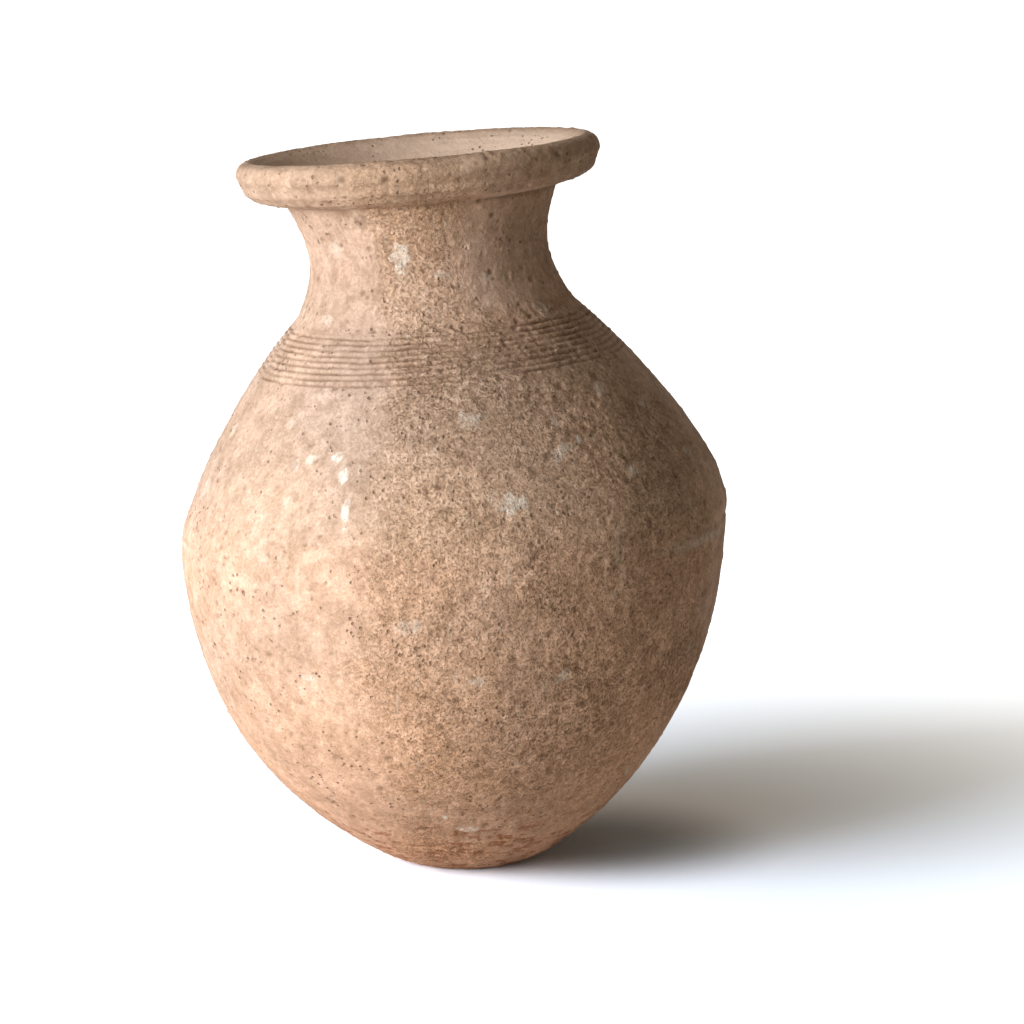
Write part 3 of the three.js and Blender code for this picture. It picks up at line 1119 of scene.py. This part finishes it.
class Nodes:
    """Makes and joins the nodes of one material or world."""

    def __init__(self, owner):
        owner.use_nodes = True
        self.tree = owner.node_tree
        self.tree.nodes.clear()
        self.place = self.add("ShaderNodeTexCoord", {}, "Object")

    def add(self, kind, inputs, output=0, **settings):
        """Adds a node, sets or joins its inputs by name or number, and gives one of its outputs."""
        node = self.tree.nodes.new(kind)
        for name, value in settings.items():
            setattr(node, name, value)
        for name, value in inputs.items():
            if isinstance(value, bpy.types.NodeSocket):
                self.tree.links.new(value, node.inputs[name])
            else:
                node.inputs[name].default_value = value
        return node.outputs[output]

    def finish(self, kind, shader):
        self.tree.links.new(shader, self.tree.nodes.new(kind).inputs["Surface"])

    def math(self, operation, *values):
        return self.add("ShaderNodeMath", dict(enumerate(values)), operation=operation)

    def span(self, value, low, high, to_low=0.0, to_high=1.0):
        inputs = dict(enumerate((value, low, high, to_low, to_high)))
        return self.add("ShaderNodeMapRange", inputs, interpolation_type="SMOOTHSTEP")

    def mix(self, share, a, b, blend="MIX"):
        inputs = {0: share, 6: a, 7: b}
        return self.add("ShaderNodeMix", inputs, 2, data_type="RGBA", blend_type=blend)

    def noise(self, scale, detail=3.0, rough=0.55, stretch=(1, 1, 1), offset=0.0):
        move = (offset, offset * 0.7, -offset)
        moved = {"Vector": self.place, "Scale": stretch, "Location": move}
        place = self.add("ShaderNodeMapping", moved)
        inputs = {"Vector": place, "Scale": scale, "Detail": detail, "Roughness": rough}
        return self.add("ShaderNodeTexNoise", inputs, "Fac")

    def cells(self, scale, output, place=None):
        inputs = {"Vector": place or self.place, "Scale": scale}
        return self.add("ShaderNodeTexVoronoi", inputs, output)

    def wandering(self, scale, reach):
        """The place moved about a little, so that cells get uneven edges."""
        wander = self.add("ShaderNodeTexNoise", {"Vector": self.place, "Scale": scale}, "Color")
        move = self.add("ShaderNodeVectorMath", {0: wander, "Scale": reach}, operation="SCALE")
        return self.add("ShaderNodeVectorMath", {0: self.place, 1: move}, operation="ADD")

    def away(self, place):
        """The distance from a place."""
        inputs = {0: self.place, 1: place}
        return self.add("ShaderNodeVectorMath", inputs, "Value", operation="DISTANCE")

    def mark(self, name):
        return self.add("ShaderNodeAttribute", {}, "Fac", attribute_name=name)


def tint(nodes, colour, amount, source, span, dark, light):
    """The colour multiplied by dark up to light, as source goes through its span."""
    shade = nodes.mix(nodes.span(source, *span), dark, light)
    return nodes.mix(amount, colour, shade, "MULTIPLY")


def clay_by_height(nodes):
    wobble = nodes.math("MULTIPLY_ADD", nodes.noise(22, 4), HEIGHT_WOBBLE, -HEIGHT_WOBBLE / 2)
    height = nodes.math("ADD", nodes.add("ShaderNodeSeparateXYZ", {0: nodes.place}, "Z"), wobble)
    ramp = nodes.tree.nodes.new("ShaderNodeValToRGB")
    nodes.tree.links.new(nodes.math("DIVIDE", height, CLAY_TOP), ramp.inputs["Fac"])
    stops = ramp.color_ramp.elements
    while len(stops) < len(CLAY_BY_HEIGHT):
        stops.new(0.5)
    for stop, (at, colour) in zip(stops, CLAY_BY_HEIGHT):
        stop.position = at / CLAY_TOP
        stop.color = (*colour, 1)
    return ramp.outputs["Color"]


def gritty_flecks(nodes, rough):
    """Dark flecks where the clay is gritty."""
    fleck = nodes.span(nodes.noise(760, 4, 0.7, offset=9.0), 0.53, 0.66)
    return nodes.math("MULTIPLY", fleck, nodes.span(rough, 0.15, 0.8, 0.12, 1))


def dark_specks(nodes):
    """Small round specks, in some places only."""
    speck = nodes.span(nodes.cells(330, "Distance"), 0.12, 0.3, 1, 0)
    return nodes.math("MULTIPLY", speck, nodes.span(nodes.noise(90, 2, offset=5.0), 0.5, 0.62))


def add_mark_colours(nodes, colour):
    ragged = nodes.noise(380, 4, 0.65, offset=3.0)
    for mark, (mark_colour, span, most) in MARK_COLOURS.items():
        share = nodes.math("MULTIPLY", nodes.mark(mark), nodes.span(ragged, *span))
        colour = nodes.mix(nodes.math("MINIMUM", share, most), colour, mark_colour)
    return nodes.mix(nodes.math("MULTIPLY", nodes.mark("dark"), DARK_SHARE), colour, PIT_DIRT)


def clay_bump(nodes, rough, grain, flake, speck, fleck):
    """Fine relief below the size that the mesh holds."""
    relief = nodes.math("MULTIPLY", speck, -SPECK_BUMP)
    relief = nodes.math("MULTIPLY_ADD", fleck, -FLECK_BUMP, relief)
    lumps = nodes.noise(210, 4, 0.6, offset=7.0)
    for source, amounts in ((flake, FLAKE_BUMP), (grain, GRAIN_BUMP), (lumps, LUMP_BUMP)):
        relief = nodes.math("MULTIPLY_ADD", source, nodes.span(rough, 0, 1, *amounts), relief)
    inputs = {"Strength": BUMP_STRENGTH, "Distance": BUMP_DISTANCE, "Height": relief}
    return nodes.add("ShaderNodeBump", inputs)


def clay_material(name):
    material = bpy.data.materials.new(name)
    nodes = Nodes(material)
    rough = nodes.mark("rough")
    colour = clay_by_height(nodes)
    for amount, (scale, detail, roughness, offset), span, low, high in MOTTLING:
        clouds = nodes.noise(scale, detail, roughness, offset=offset)
        colour = tint(nodes, colour, amount, clouds, span, low, high)
    colour = nodes.mix(nodes.span(rough, 0.1, 0.6, 1, 0), colour, SMOOTH_CLAY, "MULTIPLY")
    grain = nodes.noise(*GRAIN_NOISE)
    grain_share = nodes.span(rough, 0, 1, 0.45, 1.0)
    colour = tint(nodes, colour, grain_share, grain, GRAIN_SPAN, GRAIN_DARK, GRAIN_LIGHT)
    place = nodes.wandering(FLAKE_WANDER_SCALE, FLAKE_WANDER)
    flake = nodes.add("ShaderNodeSeparateColor", {0: nodes.cells(FLAKE_CELLS, "Color", place)})
    flake_share = nodes.span(rough, 0.1, 1.0, 0.25, 0.95)
    colour = tint(nodes, colour, flake_share, flake, FLAKE_SPAN, FLAKE_DARK, FLAKE_LIGHT)
    # Cream inside the mouth: partly its pale clay, and partly painted light at the right
    colour = nodes.mix(nodes.math("MULTIPLY", nodes.mark("cream_and_painted_light"), CREAM_AND_PAINTED_LIGHT_SHARE), colour, CREAM_AND_PAINTED_LIGHT)
    fleck = gritty_flecks(nodes, rough)
    colour = nodes.mix(nodes.math("MULTIPLY", fleck, FLECK_SHARE), colour, FLECK)
    scratch = nodes.noise(260, 2, 0.5, stretch=(1, 1, 0.12))
    colour = nodes.mix(nodes.span(scratch, 0.62, 0.74, 0, SCRATCH_SHARE), colour, PALE_SCRATCH)
    speck = dark_specks(nodes)
    colour = nodes.mix(nodes.math("MULTIPLY", speck, SPECK_SHARE), colour, PIT_DIRT)
    colour = add_mark_colours(nodes, colour)

    inputs = {
        "Base Color": colour,
        "Roughness": nodes.span(nodes.noise(130, 4, 0.6), 0.3, 0.7, 0.84, 0.97),
        "Specular IOR Level": SHEEN_LEVEL,
        "Normal": clay_bump(nodes, rough, grain, flake, speck, fleck),
    }
    nodes.finish("ShaderNodeOutputMaterial", nodes.add("ShaderNodeBsdfPrincipled", inputs))
    return material


def keep(piece, node, slot):
    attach(piece, "root")
    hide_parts(node)


lower_clay = clay_material("clay_lower")
upper_clay = clay_material("clay_upper")
rim_clay = clay_material("clay_rim")
keep(base_section("base_pad_clay", lower_clay), "base_pad", "clay_lower")
keep(wall_section("lower_body_clay", BASE_AT, BELLY_AT, lower_clay), "lower_body", "clay_lower")
keep(wall_section("shoulder_clay", BELLY_AT, NECK_AT, upper_clay), "shoulder", "clay_upper")
keep(wall_section("neck_clay", NECK_AT, CREASE_AT, upper_clay), "neck", "clay_upper")
keep(rim_section("rim_clay", rim_clay), "rim", "clay_rim")

# Camera, lamp, world and floor

CAMERA_PLACE = (0.0199, -1.5137, 0.4168)
CAMERA_PITCH = 10.166
FOCAL_PIXELS = 3729.1
FRAME_PIXELS = 1024
SENSOR = 36.0
CAMERA_SIGHT = 100
KEY_FROM_FRONT = 54.0
KEY_DISTANCE = 1.5
KEY_HEIGHT = 0.54
KEY_SIZE = (1.0, 1.0)
KEY_WATTS = 35.5
LIT_MIDDLE = Vector((0, 0, 0.15))
FILL = 0.15
FILL_COLOUR = (1.0, 0.82, 0.6, 1)
FLOOR_BOUNCE = (0.8, 0.77, 0.73, 1)
FLOOR_SIZE = 60.0
GLOW_FROM = 0.1
GLOW_FULL = 0.62
# What the camera sees of the lit floor: a cool white, because the fill is warm and the shadow is grey
FLOOR_SEEN = (0.61, 0.70, 0.83, 1)
FLOOR_LAYERS = 3
# A painted shadow, which darkens the floor's colour under the jar's right side, where the cast shadow
# is deepest: its place, the distances from there between which it fades, and what the camera sees of
# the floor in it
PAINTED_SHADOW_PLACE = (0.06, 0.02, 0.0)
PAINTED_SHADOW_FROM = 0.015
PAINTED_SHADOW_TO = 0.085
PAINTED_SHADOW_SEEN = (0.23, 0.27, 0.32, 1)


def add_camera():
    data = bpy.data.cameras.new("camera")
    data.sensor_width = SENSOR
    data.lens = SENSOR * FOCAL_PIXELS / FRAME_PIXELS
    data.clip_end = CAMERA_SIGHT
    camera = bpy.data.objects.new("camera", data)
    camera.location = CAMERA_PLACE
    camera.rotation_euler = (math.radians(90 - CAMERA_PITCH), 0, 0)
    bpy.context.collection.objects.link(camera)
    bpy.context.scene.camera = camera


def add_key():
    """A wide soft box to the left, a little in front, from just over the floor upwards."""
    data = bpy.data.lights.new("key", "AREA")
    data.shape = "RECTANGLE"
    data.size, data.size_y = KEY_SIZE
    data.energy = KEY_WATTS
    lamp = bpy.data.objects.new("key", data)
    side = math.radians(KEY_FROM_FRONT)
    lamp.location = (-math.sin(side) * KEY_DISTANCE, -math.cos(side) * KEY_DISTANCE, KEY_HEIGHT)
    lamp.rotation_euler = (lamp.location - LIT_MIDDLE).to_track_quat("Z", "Y").to_euler()
    lamp.visible_camera = False
    bpy.context.collection.objects.link(lamp)


def seen_rays(nodes):
    """1 for the camera's rays, and for those that gloss or glass would send on, or else nought."""
    seen = 0.0
    for ray in ("Is Camera Ray", "Is Glossy Ray", "Is Transmission Ray"):
        seen = nodes.math("ADD", seen, nodes.add("ShaderNodeLightPath", {}, ray))
    return nodes.math("MINIMUM", seen, 1.0)


def add_world():
    """A weak warm fill on the jar, and plain white where the camera sees past the floor."""
    world = bpy.data.worlds.new("studio")
    nodes = Nodes(world)
    seen = seen_rays(nodes)
    colour = nodes.mix(seen, FILL_COLOUR, (1, 1, 1, 1))
    inputs = {"Color": colour, "Strength": nodes.span(seen, 0, 1, FILL, 1.0)}
    nodes.finish("ShaderNodeOutputWorld", nodes.add("ShaderNodeBackground", inputs))
    bpy.context.scene.world = world


def floor_material():
    """A white floor. The camera sees it overexposed, with the jar's shadow, made darker near the foot
    by a painted shadow, and white further off.
    """
    material = bpy.data.materials.new("floor")
    nodes = Nodes(material)
    # The floor's colour darkens near the jar's right side: a painted shadow laid over the cast one.
    clear = nodes.span(nodes.away(PAINTED_SHADOW_PLACE), PAINTED_SHADOW_FROM, PAINTED_SHADOW_TO)
    lit = {"Color": nodes.mix(clear, PAINTED_SHADOW_SEEN, FLOOR_SEEN)}
    glow = nodes.span(nodes.away((0, 0, 0)), GLOW_FROM, GLOW_FULL)
    seen = nodes.add("ShaderNodeEmission", {"Strength": glow})
    for _ in range(FLOOR_LAYERS):
        layer = nodes.add("ShaderNodeBsdfDiffuse", lit)
        seen = nodes.add("ShaderNodeAddShader", {0: seen, 1: layer})
    bounce = nodes.add("ShaderNodeBsdfDiffuse", {"Color": FLOOR_BOUNCE})
    surface = nodes.add("ShaderNodeMixShader", {0: seen_rays(nodes), 1: bounce, 2: seen})
    nodes.finish("ShaderNodeOutputMaterial", surface)
    return material


def add_floor():
    half = FLOOR_SIZE / 2
    corners = [(-half, -half, 0), (half, -half, 0), (half, half, 0), (-half, half, 0)]
    mesh = bpy.data.meshes.new("floor")
    mesh.from_pydata(corners, [], [(0, 1, 2, 3)])
    mesh.materials.append(floor_material())
    floor = bpy.data.objects.new("floor", mesh)
    bpy.context.collection.objects.link(floor)


add_camera()
add_key()
add_world()
add_floor()
bpy.context.scene.view_settings.view_transform = "Standard"
